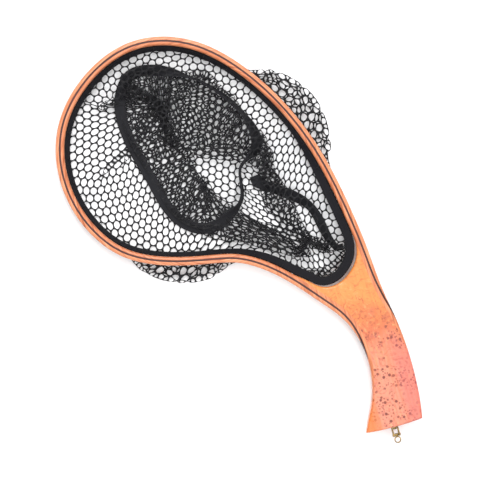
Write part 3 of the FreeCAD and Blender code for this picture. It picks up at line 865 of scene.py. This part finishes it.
count = rings_of(seam.length)
share = np.arange(count) / count
seam_width = float(np.median(np.linalg.norm(seam_out.at(shares) - seam_in.at(shares), axis=1)))
line = seam.at(share)
standing_place = np.array([seam.points[:, 0].max() - 0.012, seam.points[:, 1].min() + 0.071])
standing = np.clip(1.5 * nearness(line, standing_place, 0.062), 0.0, 1.0)
top_place = seam.points[np.argmax(seam.points[:, 1])]
under_flap = np.clip(1.5 * nearness(line, top_place, 0.090), 0.0, 1.0)
on_edge = np.maximum(standing, under_flap)
sides, ups = tilted(seam.left(share), 0.18 * soft_noise(line, 60.0, 8) - ON_EDGE_TILT * on_edge)
lift = SEAM_HEIGHT - SEAM_DROP + 0.0010 * soft_noise(line, 70.0, 9) + ON_EDGE_LIFT * on_edge
centres = raised(line, lift)
seam_tape = make_tape("bottom_seam_binding", centres, sides, ups, seam_width, True)
seam_stitches = make_stitches("seam_stitches", centres[::every] + ups[::every] * 0.0005, sides[::every],
                              ups[::every], (-0.38 * seam_width, 0.38 * seam_width), STITCH_SIZE)


def middle_of_strip(outline, ends):
    """Middle line of a long strip from one end to the other."""
    first, last = (int(np.argmin(((outline - end) ** 2).sum(axis=1))) for end in ends)
    turned = np.roll(outline, -first, axis=0)
    split = (last - first) % len(outline)
    halves = (turned[: split + 1], np.vstack([turned[split:], turned[:1]])[::-1])
    even = []
    for edge in halves:
        steps = np.linalg.norm(np.diff(edge, axis=0), axis=1)
        along = np.concatenate([[0.0], np.cumsum(steps)])
        where = np.linspace(0.0, along[-1], 240)
        even.append(np.stack([np.interp(where, along, edge[:, k]) for k in (0, 1)], -1))
    return (even[0] + even[1]) / 2.0


side_low, side_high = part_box("side_seam_tape")
side_outline = face_outlines("side_seam_tape", side_high[2])[0]
far_corner = np.array([side_high[0], (side_low[1] + side_high[1]) / 2.0])
near_corner = np.array([side_low[0], (side_low[1] + side_high[1]) / 2.0])
middle = middle_of_strip(side_outline, (far_corner, near_corner))
steps = np.linalg.norm(np.diff(middle, axis=0), axis=1)
along = np.concatenate([[0.0], np.cumsum(steps)])
count = rings_of(along[-1])
where = np.linspace(0.0, along[-1], count)
line = np.stack([np.interp(where, along, middle[:, k]) for k in (0, 1)], -1)
ahead = unit(np.gradient(line, axis=0))
flat_side = np.stack([-ahead[:, 1], ahead[:, 0]], -1)
part = where / where[-1]
tilt = 0.95 - 0.55 * part + 0.12 * np.sin(part * 17.0)
sides, ups = tilted(flat_side, tilt)
height = (1.0 - part) ** 2 * 0.008 + SEAM_HEIGHT - 0.001
centres = raised(line, height + 0.0006 * np.sin(part * 23.0))
side_tape = make_tape("side_seam_binding", centres, sides, ups, seam_width, False)
side_stitches = make_stitches("side_stitches", centres[::every] + ups[::every] * 0.0005, sides[::every],
                              ups[::every], (-0.32 * seam_width, 0.32 * seam_width), STITCH_SIZE)

for piece, node, look, slot in (
    (rim_tape, "rim_tape", rim_weave, "rim_tape"),
    (seam_tape, "bottom_seam_tape", seam_weave, "seam_tape"),
    (side_tape, "side_seam_tape", seam_weave, "seam_tape"),
):
    piece.data.materials.append(look)
    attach(piece, "frame")
    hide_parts(node)
for piece, slot in ((rim_stitches, "rim_tape"), (seam_stitches, "seam_tape"), (side_stitches, "seam_tape")):
    piece.data.materials.append(cord_thread)
    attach(piece, "frame")


# ---------------------------------------------------------------- net thread areas
def declare_net(faces, size):
    """Works out the area of the net's threads before the fall, or the least share of the
    cut size where the threads cover less; the result is not kept. The least share of the
    cut that can be declared where the threads cover less."""
    area = max(thread_area(bag.rest, faces), LEAST_AREA_SHARE * size[0] * size[1])


half_wall = (rim.length, bag.depth_rows.mean() * bag.row / 2.0)
panel_size = tuple(float(side) for side in np.ptp(seam.points, axis=0) * PANEL_EXCESS)
declare_net(bag.faces[:half], half_wall)
declare_net(bag.faces[half : bag.wall_faces], half_wall)
declare_net(bag.faces[bag.wall_faces:], panel_size)


# ---------------------------------------------------------------- stage
def make_floor():
    floor = make_object("floor", [(-3, -3, 0), (3, -3, 0), (3, 3, 0), (-3, 3, 0)], [(0, 1, 2, 3)])
    look = Look("floor", Specular_IOR_Level=0.1)
    tone = look.noise(look.place, 5.0, 2.0)
    colour = look.ramp(tone, (0.3, srgb(248, 248, 250)), (0.7, srgb(252, 252, 253)))
    floor.data.materials.append(look.finish(colour, 0.9))


def make_light(name, place, size, power, colour=(1.0, 1.0, 1.0)):
    light = bpy.data.lights.new(name, "AREA")
    light.size = size
    light.energy = power
    light.color = colour
    lamp = bpy.data.objects.new(name, light)
    lamp.location = place
    lamp.rotation_euler = Vector((-place[0], -place[1], -place[2])).to_track_quat("-Z", "Y").to_euler()
    bpy.context.scene.collection.objects.link(lamp)


def make_camera():
    data = bpy.data.cameras.new("camera")
    data.angle = 2.0 * math.atan(VIEW_WIDTH / 2.0 / VIEW_HEIGHT)
    camera = bpy.data.objects.new("camera", data)
    camera.location = (*VIEW_MIDDLE, VIEW_HEIGHT)
    camera.rotation_euler = (0.0, 0.0, VIEW_TURN)
    bpy.context.scene.collection.objects.link(camera)
    bpy.context.scene.camera = camera


make_floor()
make_light("key", (-0.9, 0.9, 1.7), 1.2, 34.0)
make_light("fill", (1.2, -0.4, 1.5), 1.6, 16.0)
make_light("top", (0.0, -0.2, 2.6), 2.0, 18.0)
world = bpy.data.worlds.new("studio")
world.use_nodes = True
world.node_tree.nodes["Background"].inputs["Color"].default_value = (1.0, 1.0, 1.0, 1.0)
world.node_tree.nodes["Background"].inputs["Strength"].default_value = 0.75
bpy.context.scene.world = world
bpy.context.scene.view_settings.view_transform = "Standard"
make_camera()
